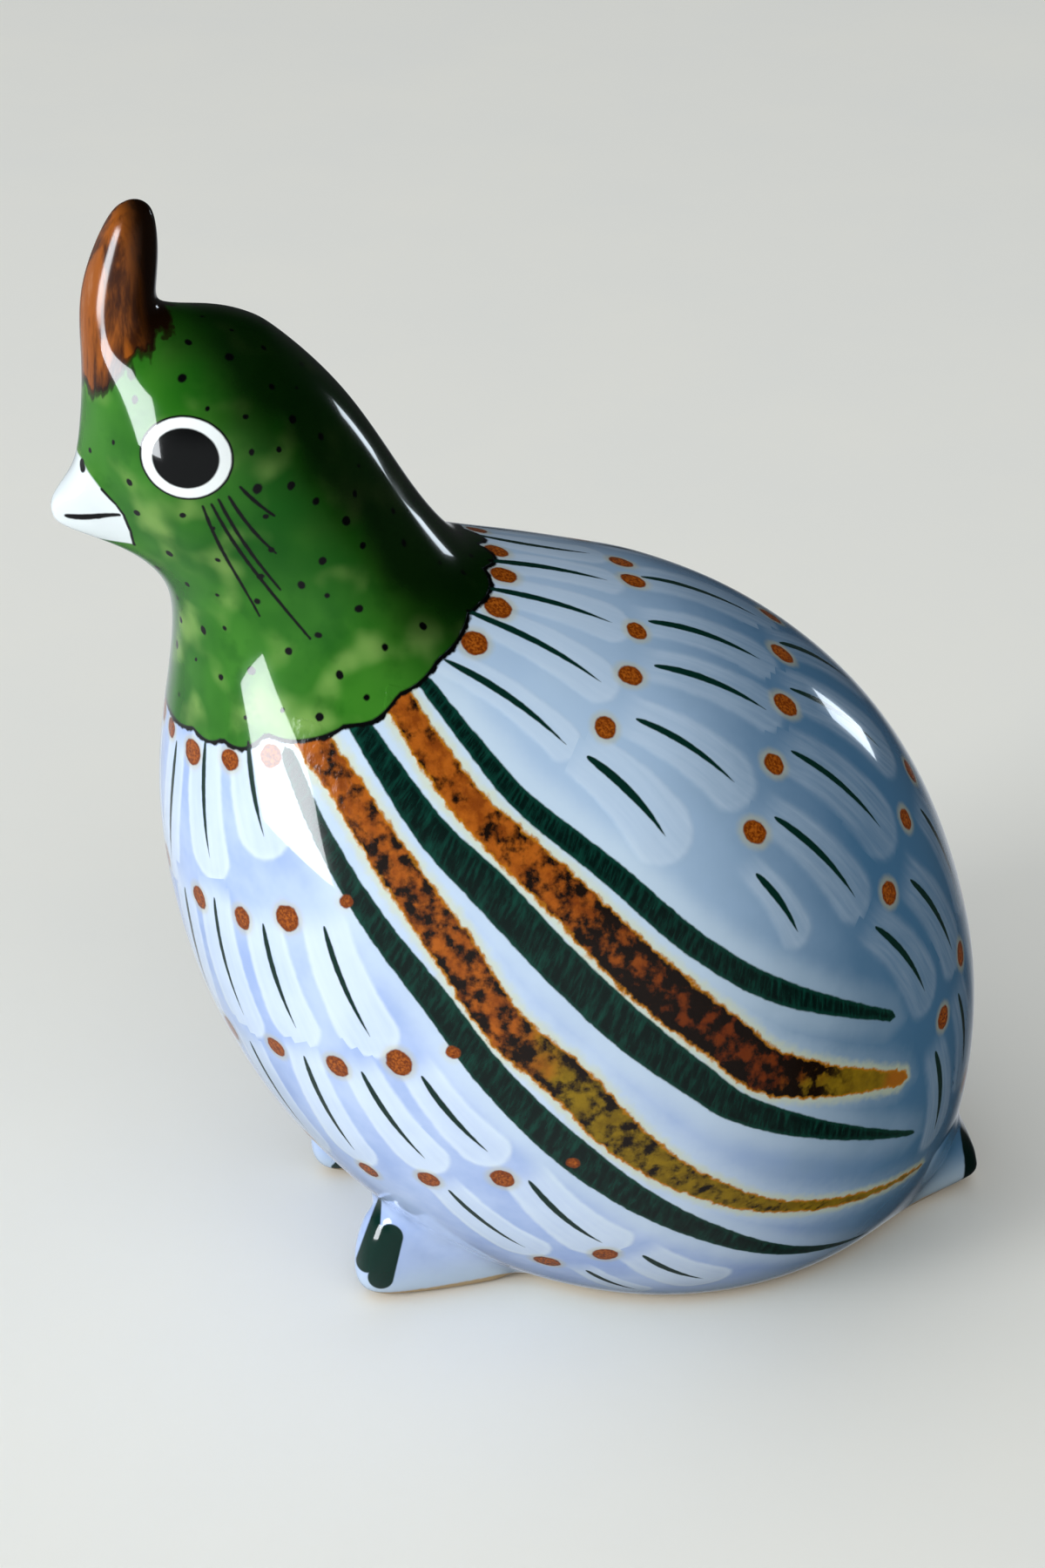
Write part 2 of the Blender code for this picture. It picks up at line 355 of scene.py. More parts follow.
def evaluated_copy(item):
    """The mesh of an object after its modifiers."""
    graph = bpy.context.evaluated_depsgraph_get()
    graph.update()
    return bpy.data.meshes.new_from_object(item.evaluated_get(graph), depsgraph=graph)


def surface_tree(item):
    """Search tree of an object's finished surface."""
    return BVHTree.FromObject(item, bpy.context.evaluated_depsgraph_get())


def points_of(mesh):
    """Vertex positions as an array."""
    flat = np.empty(len(mesh.vertices) * 3)
    mesh.vertices.foreach_get("co", flat)
    return flat.reshape(-1, 3)


def fill_corners(mesh, body_tree, foot_trees):
    """Smooth the seam where each foot joins the belly, as glaze pools in a corner."""
    points = points_of(mesh)
    near = np.zeros(len(points))
    reach = TOE_REACH + FILLET
    for index, point in enumerate(points):
        if point[2] > FOOT_RISE + FILLET or not -reach < point[1] < FOOT_LENGTH - TOE_REACH:
            continue
        to_body = body_tree.find_nearest(point)[3]
        to_foot = min(tree.find_nearest(point)[3] for tree in foot_trees)
        near[index] = max(0.0, 1.0 - max(to_body, to_foot) / FILLET)
    ends = np.empty(len(mesh.edges) * 2, dtype=np.int64)
    mesh.edges.foreach_get("vertices", ends)
    ends = ends.reshape(-1, 2)
    ends = ends[(near[ends] > 0.0).any(axis=1)]
    count = np.zeros(len(points))
    np.add.at(count, ends.ravel(), 1.0)
    moving = near > 0.0
    for _ in range(60):
        total = np.zeros_like(points)
        np.add.at(total, ends[:, 0], points[ends[:, 1]])
        np.add.at(total, ends[:, 1], points[ends[:, 0]])
        pull = total[moving] / count[moving, None] - points[moving]
        points[moving] += pull * (0.7 * near[moving, None])
    return points


def stand_on_floor(points):
    """Press the underside flat at z = 0, with a small round at its edge."""
    height = points[:, 2]
    rounded = (height + FOOT_EDGE) ** 2 / (4.0 * FOOT_EDGE)
    points[:, 2] = np.where(height > FOOT_EDGE, height,
                            np.where(height < -FOOT_EDGE, 0.0, rounded))
    return points


def weld(mesh):
    """Remove the tiny edges that the joints of the feet leave."""
    shape = bmesh.new()
    shape.from_mesh(mesh)
    low = [vert for vert in shape.verts if vert.co.z < FOOT_RISE + FILLET]
    bmesh.ops.remove_doubles(shape, verts=low, dist=WELD)
    shape.to_mesh(mesh)
    shape.free()


def make_quail():
    """The whole bird as one smooth skin in the solid's place."""
    body = new_object("body_cage", body_cage())
    subdivide(body)
    feet = [new_object("foot_cage", foot_cage(side)) for side in (1, -1)]
    for foot in feet:
        subdivide(foot)
    body_tree = surface_tree(body)
    foot_trees = [surface_tree(foot) for foot in feet]
    for foot in feet:
        joint = body.modifiers.new("Foot", "BOOLEAN")
        joint.operation = "UNION"
        joint.solver = "EXACT"
        joint.object = foot
    mesh = evaluated_copy(body)
    for item in (body, *feet):
        bpy.data.objects.remove(item, do_unlink=True)
    weld(mesh)
    points = stand_on_floor(fill_corners(mesh, body_tree, foot_trees))
    solid_low, solid_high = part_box("quail")
    points *= (solid_high[2] - solid_low[2]) / np.ptp(points[:, 2])
    shift = (solid_low[1] + solid_high[1] - points[:, 1].min() - points[:, 1].max()) / 2.0
    points[:, 1] += shift
    mesh.vertices.foreach_set("co", points.ravel())
    mesh.update()
    mesh.shade_smooth()
    mesh.name = "painted_quail"
    quail = bpy.data.objects.new("painted_quail", mesh)
    bpy.context.scene.collection.objects.link(quail)
    return quail, shift


def camera_axes():
    """Directions from the scene to the camera, to the picture's right and up."""
    turn, rise = math.radians(VIEW_AZIMUTH), math.radians(VIEW_ELEVATION)
    back = Vector((math.sin(turn) * math.cos(rise), -math.cos(turn) * math.cos(rise),
                   math.sin(rise)))
    right = Vector((math.cos(turn), math.sin(turn), 0.0))
    return back, right, back.cross(right)


def make_camera():
    """Camera at the photograph's angle."""
    data = bpy.data.cameras.new("camera")
    data.sensor_width = SENSOR
    data.lens = SENSOR / 2.0 / math.tan(math.radians(VIEW_ANGLE) / 2.0)
    data.clip_start = 0.01
    camera = bpy.data.objects.new("camera", data)
    back = camera_axes()[0]
    camera.location = VIEW_AIM + back * VIEW_DISTANCE
    camera.rotation_euler = (-back).to_track_quat("-Z", "Y").to_euler()
    bpy.context.scene.collection.objects.link(camera)
    bpy.context.scene.camera = camera


class Surface:
    """Finds where marks of the photograph lie on the bird."""

    def __init__(self, mesh, shift):
        self.shift = shift
        corners = [vert.co for vert in mesh.vertices]
        faces = [poly.vertices for poly in mesh.polygons]
        self.tree = BVHTree.FromPolygons(corners, faces)
        back, right, up = camera_axes()
        self.eye = VIEW_AIM + back * VIEW_DISTANCE
        self.back, self.right, self.up = back, right, up
        self.reach = PHOTO_HEIGHT / 2.0 / math.tan(math.radians(VIEW_ANGLE) / 2.0)

    def look(self, pixel):
        """Point and normal that the camera sees at a pixel; the bird's edge if it misses."""
        x, y = pixel
        middle_x, middle_y = PHOTO_WIDTH / 2.0, PHOTO_HEIGHT / 2.0
        for _ in range(60):
            ray = (self.right * (x - middle_x) + self.up * (middle_y - y)
                   - self.back * self.reach).normalized()
            point, normal = self.tree.ray_cast(self.eye, ray)[:2]
            if point is not None:
                return point, normal
            x += (middle_x - x) * 0.004
            y += (middle_y * 1.1 - y) * 0.004
        raise ValueError("no bird near pixel %s" % (pixel,))

    def from_behind(self, place):
        """Point and normal seen from straight behind, mm to the left and above the floor."""
        return self.tree.ray_cast(Vector((place[0] * MM, FAR, place[1] * MM)),
                                  Vector((0.0, -1.0, 0.0)))[:2]

    def from_ahead(self, place):
        """Point and normal seen from straight ahead."""
        return self.tree.ray_cast(Vector((place[0] * MM, -FAR, place[1] * MM)),
                                  Vector((0.0, 1.0, 0.0)))[:2]


def stroke_between(find, start, end):
    """Straight brush stroke from one place to another: start, end and normal."""
    first, first_normal = find(start)
    last, last_normal = find(end)
    return first, last, (first_normal + last_normal).normalized()


def mirrored(mark):
    """The same mark on the bird's other side."""
    return tuple(Vector((-part.x, part.y, part.z)) for part in mark)


def both_sides(marks, gap):
    """Repeat marks on the far side, wherever none is already within the gap."""
    kept = list(marks)
    for mark in marks:
        twin = mirrored(mark)
        middle = (twin[0] + twin[1]) / 2.0
        if all(((other[0] + other[1]) / 2.0 - middle).length > gap for other in kept):
            kept.append(twin)
    return kept


def frames_of(marks):
    """Starts, lengths and directions along, across of marks, as arrays in mm."""
    starts = np.array([mark[0] for mark in marks]) / MM
    ends = np.array([mark[1] for mark in marks]) / MM
    normals = np.array([mark[2] for mark in marks])
    along = ends - starts
    lengths = np.linalg.norm(along, axis=1)
    along /= lengths[:, None]
    across = np.cross(normals, along)
    across /= np.linalg.norm(across, axis=1)[:, None]
    across[across[:, 2] < 0.0] *= -1.0
    return starts, lengths, along, across


class Skin:
    """Writes the place of each brush mark onto the mesh, for the glaze to read."""

    def __init__(self, mesh):
        self.mesh = mesh
        self.points = points_of(mesh) / MM
        count = len(mesh.loops)
        flat = np.empty(count, dtype=np.int32)
        mesh.loops.foreach_get("vertex_index", flat)
        self.corner_vertex = flat
        sizes = np.empty(len(mesh.polygons), dtype=np.int32)
        mesh.polygons.foreach_get("loop_total", sizes)
        self.corner_face = np.repeat(np.arange(len(sizes)), sizes)
        centres = np.empty(len(sizes) * 3)
        mesh.polygons.foreach_get("center", centres)
        self.centres = centres.reshape(-1, 3) / MM

    def write(self, name, domain, values):
        """Store values as a named attribute."""
        kind = "FLOAT_VECTOR" if values.ndim == 2 else "FLOAT"
        attribute = self.mesh.attributes.new(name, kind, domain)
        attribute.data.foreach_set("vector" if values.ndim == 2 else "value",
                                   np.ascontiguousarray(values, dtype=np.float32).ravel())

    def nearest_mark(self, frames, bows, widths):
        """For each face, the mark whose bowed middle line, or edge, is nearest."""
        starts, lengths, along, across = frames
        best = np.full(len(self.centres), np.inf)
        choice = np.zeros(len(self.centres), dtype=np.int64)
        for index in range(len(starts)):
            offset = self.centres - starts[index]
            reach = np.clip(offset @ along[index], 0.0, lengths[index])
            part = reach / lengths[index]
            bend = bows[index] * lengths[index] * 4.0 * part * (1.0 - part)
            middle = reach[:, None] * along[index] + bend[:, None] * across[index]
            gap = np.linalg.norm(offset - middle, axis=1) - widths[index]
            closer = gap < best
            best[closer] = gap[closer]
            choice[closer] = index
        return choice

    def lay_marks(self, name, marks, form, bows=None, widths=None):
        """Each face gets its nearest mark's own coordinates and form.

        form is one row of three numbers for each mark; the mark's length in mm comes
        with the coordinates.  bows says how far each mark bends upwards at its middle,
        against its length; widths, in mm, favours the wider of two marks.
        """
        bows = np.zeros(len(marks)) if bows is None else np.array(bows)
        widths = np.zeros(len(marks)) if widths is None else np.array(widths)
        frames = frames_of(marks)
        starts, lengths, along, across = frames
        choice = self.nearest_mark(frames, bows, widths)
        mark = choice[self.corner_face]
        offset = self.points[self.corner_vertex] - starts[mark]
        u = np.einsum("ij,ij->i", offset, along[mark])
        v = np.einsum("ij,ij->i", offset, across[mark])
        part = np.clip(u / lengths[mark], 0.0, 1.0)
        v -= bows[mark] * lengths[mark] * 4.0 * part * (1.0 - part)
        self.write(name, "CORNER", np.stack([u, v, lengths[mark]], axis=1))
        self.write(name + "_form", "FACE", np.asarray(form, dtype=float)[choice])


def smooth_route(surface, pixels, step):
    """Points and normals along a curve on the glaze through the pixels, evenly spaced."""
    fixed = [surface.look(pixel)[0] for pixel in pixels]
    dense = []
    for index in range(len(fixed) - 1):
        before = fixed[max(index - 1, 0)]
        start, end = fixed[index], fixed[index + 1]
        after = fixed[min(index + 2, len(fixed) - 1)]
        for part in range(24):
            t = part / 24.0
            dense.append(0.5 * ((2.0 * start) + (end - before) * t
                                + (2.0 * before - 5.0 * start + 4.0 * end - after) * t * t
                                + (3.0 * start - before - 3.0 * end + after) * t ** 3))
    dense.append(fixed[-1])
    run = np.concatenate([[0.0], np.cumsum([(b - a).length
                                            for a, b in zip(dense[:-1], dense[1:])])])
    places = np.arange(0.0, run[-1], step)
    array = np.array(dense)
    even = np.stack([np.interp(places, run, array[:, axis]) for axis in range(3)], axis=1)
    points, normals = [], []
    for place in even:
        point, normal = surface.tree.find_nearest(Vector(place))[:2]
        points.append(point)
        normals.append(normal)
    return np.array(points), np.array(normals)


def folded(points):
    """The left-side place that each point mirrors."""
    twin = points.copy()
    twin[:, 0] = np.abs(twin[:, 0])
    return twin


def lay_stripes(skin, surface):
    """Place along and across the nearest brown and the nearest green wing stripe.

    Each has two attributes: the part of the way along it, mm across its middle line and
    its number; and mm away from its middle line and its half width in mm.
    """
    own = folded(skin.points)
    tables = {0: [], 1: []}
    for order, (pixels, widths, brown) in enumerate(STRIPES):
        points, normals = smooth_route(surface, pixels, STRIPE_STEP * MM)
        points = points / MM
        tangents = np.gradient(points, axis=0)
        tangents /= np.linalg.norm(tangents, axis=1)[:, None]
        across = np.cross(normals, tangents)
        run = np.arange(len(points)) * STRIPE_STEP
        half = np.interp(run / run[-1], np.linspace(0.0, 1.0, len(widths)), widths)
        table = np.empty((len(own), 5))
        for first in range(0, len(own), 8000):
            block = own[first:first + 8000]
            gap = ((block[:, None, :] - points[None]) ** 2).sum(axis=2)
            near = gap.argmin(axis=1)
            offset = block - points[near]
            along = run[near] + np.einsum("ij,ij->i", offset, tangents[near])
            beyond = np.maximum(along - run[-1], 0.0) + np.maximum(-along, 0.0)
            width = np.interp(along, run, half) - beyond
            side = np.einsum("ij,ij->i", offset, across[near])
            away = np.sqrt(gap.min(axis=1))
            table[first:first + 8000] = np.stack([along / run[-1], side,
                                                  np.full(len(block), float(order)),
                                                  away, width], axis=1)
        tables[brown].append(table)
    for brown, name in enumerate(("green_stripe", "brown_stripe")):
        stacked = np.stack(tables[brown])
        nearest = (stacked[:, :, 3] - stacked[:, :, 4]).argmin(axis=0)
        chosen = stacked[nearest, np.arange(len(own))]
        skin.write(name, "POINT", chosen[:, :3])
        edge = np.zeros((len(own), 3))
        edge[:, :2] = chosen[:, 3:]
        skin.write(name + "_edge", "POINT", edge)


def lay_toe(skin, surface):
    """Own coordinates of the two brush marks on a foot's tip, in mm, as the camera sees."""
    back = np.array(surface.back)
    for name, pixels in (("toe_point", TOE_POINT), ("toe_round", TOE_ROUND)):
        start, end = [np.array(surface.look(pixel)[0]) / MM for pixel in pixels]
        along = end - start
        along -= back * (along @ back)
        length = np.linalg.norm(along)
        along /= length
        across = np.cross(back, along)
        offset = folded(skin.points) - start
        depth = np.abs(offset @ back)
        u, v = offset @ along, offset @ across
        nearby = (depth < TOE_DEPTH) & (skin.points[:, 2] < TOE_HEIGHT)
        v = np.where(nearby, v, np.copysign(30.0, v))
        skin.write(name, "POINT", np.stack([u, v, np.full(len(u), length)], axis=1))


def lay_neckline(skin, surface):
    """Height above the scalloped edge of the green glaze, in mm."""
    axis = np.array([0.0, *NECK_LEAN])
    to_back = np.array([0.0, -NECK_LEAN[1], NECK_LEAN[0]])
    middle = np.array([0.0, *NECK_MIDDLE]) / MM

    def polar(points):
        offset = folded(points) - middle
        height = -offset @ axis
        turn = np.arctan2(offset[:, 0], offset @ to_back)
        return turn, height

    border = np.array([surface.look(pixel)[0] for pixel in NECKLINE]) / MM
    turn, height = polar(border)
    order = np.argsort(turn)
    own_turn, own_height = polar(skin.points)
    edge = np.interp(own_turn, turn[order], height[order])
    wander = own_turn * 9.0 + 0.5 * np.sin(own_turn * 5.0)
    scallop = np.abs(np.sin(wander)) * (0.75 + 0.4 * np.sin(own_turn * 3.3 + 1.0))
    above = own_height - edge + scallop
    skin.write("neck", "POINT", above)
    return above


def lay_eye(skin, surface):
    """Place on the nearer eye: 1 at its rim, with the third number the depth in mm."""
    centre, normal = surface.look(EYE_CENTRE)
    to_back = surface.look(EYE_RIM_BACK)[0] - centre
    to_top = surface.look(EYE_RIM_TOP)[0] - centre
    across = (to_back - normal * to_back.dot(normal)).normalized()
    upward = normal.cross(across)
    if upward.dot(to_top) < 0.0:
        upward = -upward
    wide = to_back.dot(across) / MM
    tall = to_top.dot(upward) / MM
    offset = folded(skin.points) - np.array(centre) / MM
    values = np.stack([offset @ np.array(across) / wide, offset @ np.array(upward) / tall,
                       offset @ np.array(normal)], axis=1)
    skin.write("eye", "POINT", values)
    return np.hypot(values[:, 0], values[:, 1]) + np.abs(values[:, 2]) / 12.0


def lay_beak(skin, surface):
    """Distance inside the edge of the white beak, in mm."""
    edge = np.array([surface.look(pixel)[0] for pixel in BEAK_BASE]) / MM
    edge = edge[np.argsort(edge[:, 2])]
    y, z = skin.points[:, 1], skin.points[:, 2]
    in_front = (np.interp(z, edge[:, 2], edge[:, 1]) - y) * 0.8
    inside = np.minimum(in_front, np.minimum(z - edge[0, 2], edge[-1, 2] - z))
    skin.write("beak", "POINT", inside)
    return inside


def lay_crest(skin, surface):
    """Height above the lower edge of the crest's brown glaze, in mm."""
    front = surface.look(CREST_FOOT_FRONT)[0] / MM
    back = surface.look(CREST_FOOT_BACK)[0] / MM
    slope = (back.z - front.z) / (back.y - front.y)
    height = skin.points[:, 2] - front.z - (skin.points[:, 1] - front.y) * slope
    height /= math.hypot(1.0, slope)
    skin.write("crest", "POINT", height)
    return height


def scatter_specks(skin, allowed, count, gap):
    """Small marks at random places among the allowed points, no two within the gap."""
    chance = random.Random(SPECK_SEED)
    normals = np.empty(len(skin.points) * 3)
    skin.mesh.vertices.foreach_get("normal", normals)
    normals = normals.reshape(-1, 3)
    candidates = list(np.flatnonzero(allowed))
    chance.shuffle(candidates)
    chosen = []
    for index in candidates:
        place = skin.points[index]
        if all(np.linalg.norm(place - skin.points[other]) > gap for other in chosen):
            chosen.append(index)
        if len(chosen) == count:
            break
    marks = []
    for index in chosen:
        normal = Vector(normals[index])
        turn = Vector((chance.uniform(-1, 1), chance.uniform(-1, 1), chance.uniform(-1, 1)))
        along = normal.cross(turn).normalized()
        centre = Vector(skin.points[index]) * MM
        marks.append((centre, centre + along * 0.2 * MM, normal))
    return marks, chance


def dot_marks(places):
    """Short marks at the middles of brown dots, on both sides."""
    marks = []
    for centre, normal in places:
        down = normal.cross(Vector((1.0, 0.0, 0.0))).normalized()
        marks.append((centre, centre + down * 0.2 * MM, normal))
    return both_sides(marks, DOT_GAP)


def lay_strokes(skin, surface, name, strokes, bows, forms, rows):
    """Add fine strokes to the given ones and write them as one kind of mark.

    Each row is the strokes' pixels, half width, taper and bow.
    """
    for pixels, half_width, taper, bow in rows:
        marks = both_sides([stroke_between(surface.look, *ends) for ends in pixels], 0.001)
        strokes += marks
        bows += [bow] * len(marks)
        forms += [(half_width, taper, 0.0) for _ in marks]
    skin.lay_marks(name, strokes, forms, bows, [form[0] for form in forms])


def lay_paint(skin, surface):
    """Write every kind of mark onto the skin."""
    chance = random.Random(BRUSH_SEED)
    neck = lay_neckline(skin, surface)
    eye = lay_eye(skin, surface)
    beak = lay_beak(skin, surface)
    crest = lay_crest(skin, surface)
    lay_stripes(skin, surface)

    breast = [stroke_between(surface.look, *ends) for ends in BREAST_LINES]
    breast = both_sides(breast, FEATHER_GAP)
    rear = [stroke_between(surface.look, *ends) for ends in BACK_LINES]
    rear += [stroke_between(surface.from_behind, *ends) for ends in REAR_LINES]
    rear = both_sides(rear, FEATHER_GAP)
    front = [stroke_between(surface.from_ahead, *ends) for ends in FRONT_LINES]
    front = both_sides(front, FEATHER_GAP)
    feathers = breast + rear + front
    bows = [BREAST_BOW] * len(breast) + [BACK_BOW] * len(rear) + [0.0] * len(front)
    forms = [(width * chance.uniform(0.94, 1.04), chance.uniform(0.0, 100.0), 0.0)
             for width in feather_widths(feathers)]
    skin.lay_marks("feather", feathers, forms, bows)

    forms = [(chance.uniform(0.40, 0.50), 1.0, chance.uniform(0.0, 100.0)) for _ in breast]
    forms += [(chance.uniform(0.48, 0.62), 1.0, chance.uniform(0.0, 100.0))
              for _ in rear + front]
    base = tuple(zip(BEAK_BASE[2:-1], BEAK_BASE[3:]))
    lay_strokes(skin, surface, "stroke", list(feathers), bows, forms,
                ((WHISKERS, 0.24, 0.4, -0.03), ((MOUTH,), 0.40, 0.5, -0.03)))
    lay_strokes(skin, surface, "stroke_between", [], [], [],
                ((WHISKERS_BETWEEN, 0.24, 0.4, -0.04), ((NOSTRIL,), 0.6, 0.0, 0.0),
                 (base, 0.22, 0.0, 0.0)))
    lay_toe(skin, surface)

    places = [surface.look(pixel) for pixel in DOTS]
    places += [surface.from_behind(place) for place in REAR_DOTS]
    places += [surface.from_ahead(place) for place in FRONT_DOTS]
    large = dot_marks(places)
    small = dot_marks([surface.look(pixel) for pixel in SMALL_DOTS])
    forms = [(chance.uniform(1.35, 1.8), chance.uniform(0.0, 100.0), chance.uniform(0.85, 1.15))
             for _ in large]
    forms += [(chance.uniform(0.8, 0.95), chance.uniform(0.0, 100.0), 1.0) for _ in small]
    skin.lay_marks("dot", large + small, forms)

    green = (neck > 2.0) & (eye > 1.35) & (beak < -1.5) & (crest < -2.5)
    specks, chance = scatter_specks(skin, green, SPECK_COUNT, SPECK_GAP)
    forms = [(chance.uniform(0.26, 0.56), chance.uniform(0.0, 100.0),
              chance.uniform(0.8, 1.3)) for _ in specks]
    skin.lay_marks("speck", specks, forms)


def srgb(red, green, blue):
    """A colour as a screen shows it, 0 to 255, turned into linear light."""
    parts = [value / 255.0 for value in (red, green, blue)]
    linear = [part / 12.92 if part <= 0.04045 else ((part + 0.055) / 1.055) ** 2.4
              for part in parts]
    return (*linear, 1.0)


class Glaze:
    """Short names for the shader nodes that the glaze is built from."""

    def __init__(self, material):
        self.tree = material.node_tree
        self.shader = self.tree.nodes["Principled BSDF"]
        place = self.node("ShaderNodeTexCoord").outputs["Object"]
        scale = self.node("ShaderNodeVectorMath", (place,), operation="SCALE")
        scale.inputs["Scale"].default_value = 1.0 / MM
        self.place = scale.outputs[0]

    def node(self, kind, inputs=(), **settings):
        """Add a node; each input is a socket to link or a value to set."""
        made = self.tree.nodes.new(kind)
        for name, value in settings.items():
            setattr(made, name, value)
        for slot, value in zip(made.inputs, inputs):
            self.feed(slot, value)
        return made

    def feed(self, slot, value):
        """Link a socket into a slot, or set the slot's value."""
        if isinstance(value, bpy.types.NodeSocket):
            self.tree.links.new(value, slot)
        elif value is not None:
            slot.default_value = value

    def math(self, operation, *inputs):
        """Result of one arithmetic step."""
        return self.node("ShaderNodeMath", inputs, operation=operation).outputs[0]

    def add(self, a, b):
        return self.math("ADD", a, b)

    def take(self, a, b):
        return self.math("SUBTRACT", a, b)

    def times(self, a, b):
        return self.math("MULTIPLY", a, b)

    def most(self, a, b):
        return self.math("MAXIMUM", a, b)

    def least(self, a, b):
        return self.math("MINIMUM", a, b)

    def ease(self, value, start, end):
        """0 at start, 1 at end, with a soft passage between them."""
        made = self.node("ShaderNodeMapRange", (value, start, end, 0.0, 1.0),
                         interpolation_type="SMOOTHSTEP")
        return made.outputs[0]

    def read(self, name):
        """The three numbers of an attribute."""
        made = self.node("ShaderNodeAttribute", attribute_name=name)
        parts = self.node("ShaderNodeSeparateXYZ", (made.outputs["Vector"],))
        return parts.outputs[0], parts.outputs[1], parts.outputs[2]

    def number(self, name):
        """A single number kept as an attribute."""
        return self.node("ShaderNodeAttribute", attribute_name=name).outputs["Fac"]

    def noise(self, size, detail=2.0, roughness=0.5, vector=None, stretch=0.0):
        """Cloudy noise of about 0 to 1 whose features are size mm across."""
        made = self.node("ShaderNodeTexNoise")
        made.inputs["Scale"].default_value = 1.0 / size
        made.inputs["Detail"].default_value = detail
        made.inputs["Roughness"].default_value = roughness
        made.inputs["Distortion"].default_value = stretch
        self.feed(made.inputs["Vector"], vector or self.place)
        return made.outputs["Fac"]

    def wave(self, size, strength, detail=2.0):
        """Noise about zero, of the given strength in mm."""
        return self.times(self.take(self.noise(size, detail), 0.5), 2.0 * strength)

    def blend(self, amount, under, over, mode="MIX"):
        """Lay one colour over another."""
        made = self.node("ShaderNodeMix", data_type="RGBA", blend_type=mode)
        self.feed(made.inputs["Factor"], amount)
        self.feed(made.inputs[6], under)
        self.feed(made.inputs[7], over)
        return made.outputs[2]

    def join(self, x, y, z=0.0):
        """A vector from three numbers."""
        return self.node("ShaderNodeCombineXYZ", (x, y, z)).outputs[0]

    def span(self, x, y):
        """Length of the vector (x, y)."""
        return self.math("SQRT", self.add(self.times(x, x), self.times(y, y)))


def feather_widths(feathers):
    """Half width in mm of each feather, from the room that its neighbours leave."""
    starts, lengths, along, across = frames_of(feathers)
    middles = starts + along * lengths[:, None] / 2.0
    widths = []
    for index, middle in enumerate(middles):
        offsets = middles - middle
        sideways = np.abs(offsets @ across[index])
        lengthways = np.abs(offsets @ along[index])
        beside = sideways > lengthways + 1.0
        room = sideways[beside].min() if beside.any() else 10.0
        widths.append(min(max(FEATHER_SHARE * room, FEATHER_LEAST), FEATHER_MOST))
    return widths


def round_mark(glaze, name, wobble):
    """Distance in mm outside the edge of the nearest dot."""
    u, v, _ = glaze.read(name)
    radius, _, aspect = glaze.read(name + "_form")
    far = glaze.span(glaze.times(u, aspect), v)
    return glaze.add(glaze.take(far, radius), wobble)


def long_mark(glaze, name, wobble):
    """Distance in mm outside the nearest brush line."""
    u, v, length = glaze.read(name)
    half_width, taper, _ = glaze.read(name + "_form")
    along = glaze.math("DIVIDE", u, length)
    along.node.use_clamp = True
    swell = glaze.times(glaze.math("POWER", along, 0.4),
                        glaze.math("POWER", glaze.take(1.0, along), 0.8))
    swell = glaze.times(swell, 2.15)
    thin = glaze.take(1.0, glaze.times(taper, glaze.take(1.0, swell)))
    over = glaze.add(glaze.most(glaze.take(u, length), 0.0),
                     glaze.most(glaze.times(u, -1.0), 0.0))
    far = glaze.span(over, v)
    return glaze.add(glaze.take(far, glaze.times(half_width, thin)), wobble)


def stripe_mark(glaze, name):
    """Distance in mm outside the nearest stripe, the part of the way along, across, number."""
    part, side, order = glaze.read(name)
    away, half, _ = glaze.read(name + "_edge")
    side_away = glaze.math("ABSOLUTE", side)
    close = glaze.ease(away, 4.6, 3.6)
    away = glaze.add(away, glaze.times(glaze.take(side_away, away), close))
    return glaze.take(away, half), part, side, order


def toe_mark(glaze, name, half_width, pointed):
    """Distance in mm outside a brush mark on a foot's tip."""
    u, v, length = glaze.read(name)
    along = glaze.math("DIVIDE", u, length)
    along.node.use_clamp = True
    over = glaze.add(glaze.most(glaze.take(u, length), 0.0),
                     glaze.most(glaze.times(u, -1.0), 0.0))
    width = glaze.times(glaze.math("POWER", along, 0.8), half_width) if pointed else half_width
    return glaze.take(glaze.span(over, v), width)


def feather_mark(glaze):
    """Distance in mm outside the nearest white feather."""
    u, v, length = glaze.read("feather")
    half_width, seed, _ = glaze.read("feather_form")
    along = glaze.math("DIVIDE", u, length)
    along.node.use_clamp = True
    wide = glaze.times(half_width, glaze.add(0.74, glaze.times(along, 0.26)))
    tip = glaze.take(length, glaze.times(wide, 1.0 - FEATHER_TIP))
    over = glaze.most(glaze.take(u, tip), 0.0)
    far = glaze.span(over, v)
    return glaze.take(far, wide), u, v, seed


